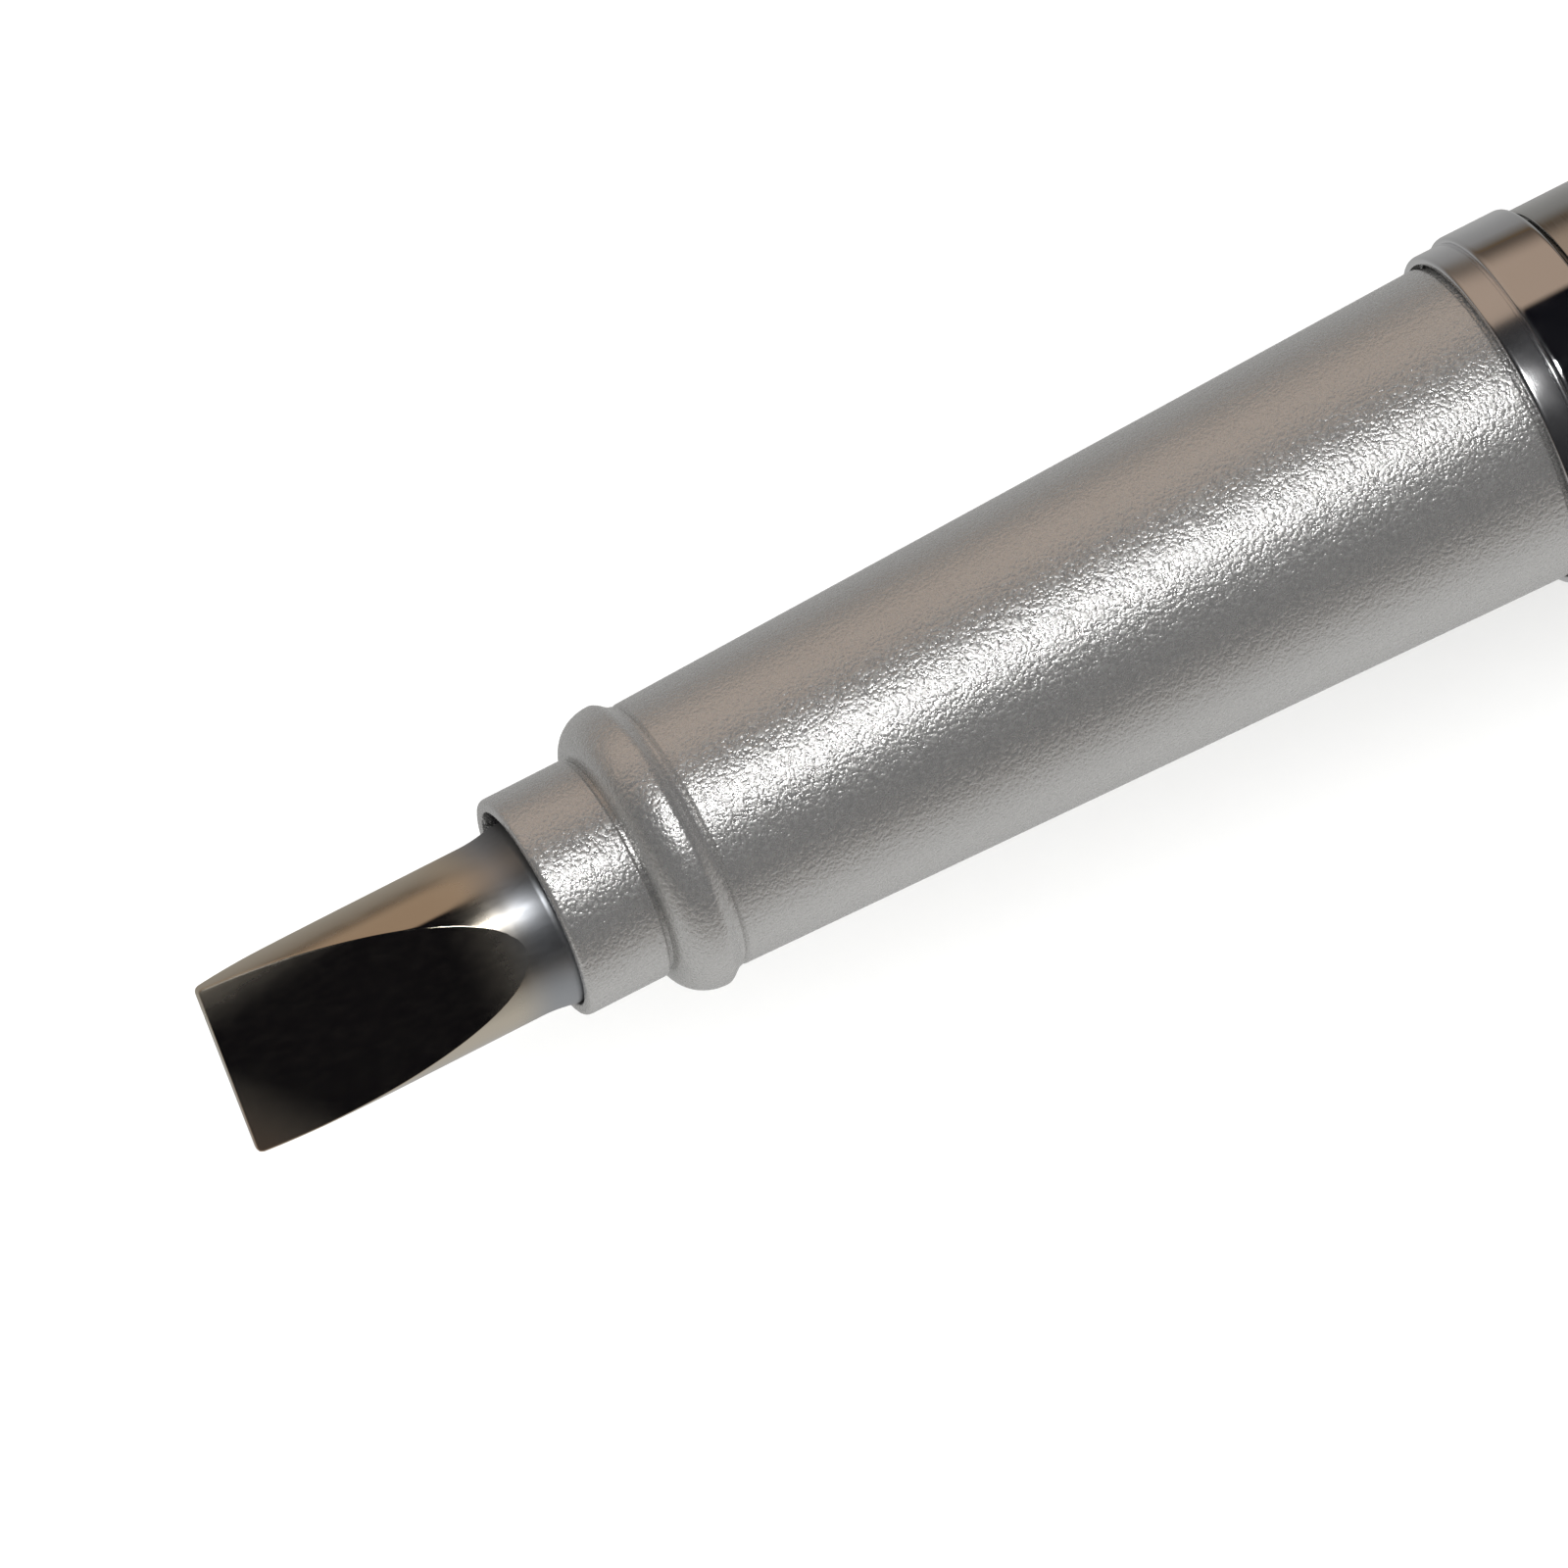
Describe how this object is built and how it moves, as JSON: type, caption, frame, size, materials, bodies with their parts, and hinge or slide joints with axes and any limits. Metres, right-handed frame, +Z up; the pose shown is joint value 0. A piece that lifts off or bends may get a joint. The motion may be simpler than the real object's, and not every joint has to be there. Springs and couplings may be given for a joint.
{
  "type": "soldering iron",
  "caption": "Soldering iron with a broad chisel tip, a tapered satin sleeve, a polished ring nut, a slim barrel and a straight handle with a temperature dial.",
  "frame": {"origin": "middle of the bottom of the bounding box, on the surface that the iron lies on", "axes": "+X from the tip to the cord inlet, +Z up, with the temperature dial on top"},
  "size_m": [0.24, 0.034, 0.0324],
  "materials": {
    "satin_steel": "bead-blasted satin",
    "polished_chrome": "polished",
    "tip_plating": "polished, slightly heat-tinted iron plating",
    "barrel_steel": "satin",
    "turned_steel": "turned",
    "zinc_steel": "zinc-plated",
    "alumina": "matt white ceramic",
    "mica": "flaky",
    "dark_nylon": "fine moulded texture",
    "handle_plastic": "fine moulded texture",
    "grip_rubber": "soft, matt",
    "dial_plastic": "satin",
    "glass_sleeving": "braided",
    "green_wire": "extruded",
    "board_laminate": "solder resist",
    "black_epoxy": "moulded",
    "pot_body": "moulded",
    "capacitor_resin": "dipped",
    "resistor_coat": "painted",
    "lamp_red": "moulded",
    "clear_acrylic": "clear",
    "terminal_green": "moulded"
  },
  "bodies": {
    "handle": {"threaded_bush": "turned_steel", "barrel_tube": "barrel_steel", "heater_rod": "alumina", "heater_seat": "alumina", "heater_lead_1": "glass_sleeving", "heater_lead_2": "glass_sleeving", "sensor_lead_1": "glass_sleeving", "sensor_lead_2": "glass_sleeving", "earth_lead": "green_wire", "mica_washer": "mica", "clamp_ring": "zinc_steel", "clamp_screw_1": "zinc_steel", "clamp_screw_2": "zinc_steel", "clamp_screw_3": "zinc_steel", "hand_guard": "dark_nylon", "grip_sleeve": "grip_rubber", "handle_shell_left": "handle_plastic", "handle_shell_right": "handle_plastic", "shell_screw_1": "zinc_steel", "shell_screw_2": "zinc_steel", "shell_screw_3": "zinc_steel", "shell_screw_4": "zinc_steel", "rear_cap": "dark_nylon", "circuit_board": "board_laminate", "potentiometer": "pot_body", "triac": "black_epoxy", "film_capacitor": "capacitor_resin", "control_chip": "black_epoxy", "terminal_block": "terminal_green", "power_resistor": "resistor_coat", "indicator_lamp": "lamp_red", "light_pipe": "clear_acrylic"},
    "tip": {"soldering_tip": "tip_plating"},
    "sleeve": {"tip_sleeve": "satin_steel"},
    "washer": {"thrust_washer": "turned_steel"},
    "nut": {"retaining_nut": "polished_chrome"},
    "dial": {"dial_shaft": "turned_steel", "temperature_dial": "dial_plastic"}
  },
  "joints": [
    {"name": "tip_pull", "type": "slide", "parent": "handle", "child": "tip", "axis": [-1, 0, 0], "range_m": [0, 0.036]},
    {"name": "sleeve_pull", "type": "slide", "parent": "tip", "child": "sleeve", "axis": [-1, 0, 0], "range_m": [0, 0.056]},
    {"name": "nut_advance", "type": "slide", "parent": "sleeve", "child": "washer", "axis": [-1, 0, 0], "range_m": [0, 0.0015]},
    {"name": "nut_turn", "type": "hinge", "parent": "washer", "child": "nut", "pos_m": [-0.067, 0, 0.014], "axis": [-1, 0, 0], "range_deg": [0, 1080]},
    {"name": "dial_turn", "type": "hinge", "parent": "handle", "child": "dial", "pos_m": [0.074, 0, 0.03], "axis": [0, 0, 1], "range_deg": [-135, 135]}
  ],
  "couplings": [
    {"joint": "nut_turn", "follows": "nut_advance", "rad_per_m": 12566}
  ]
}
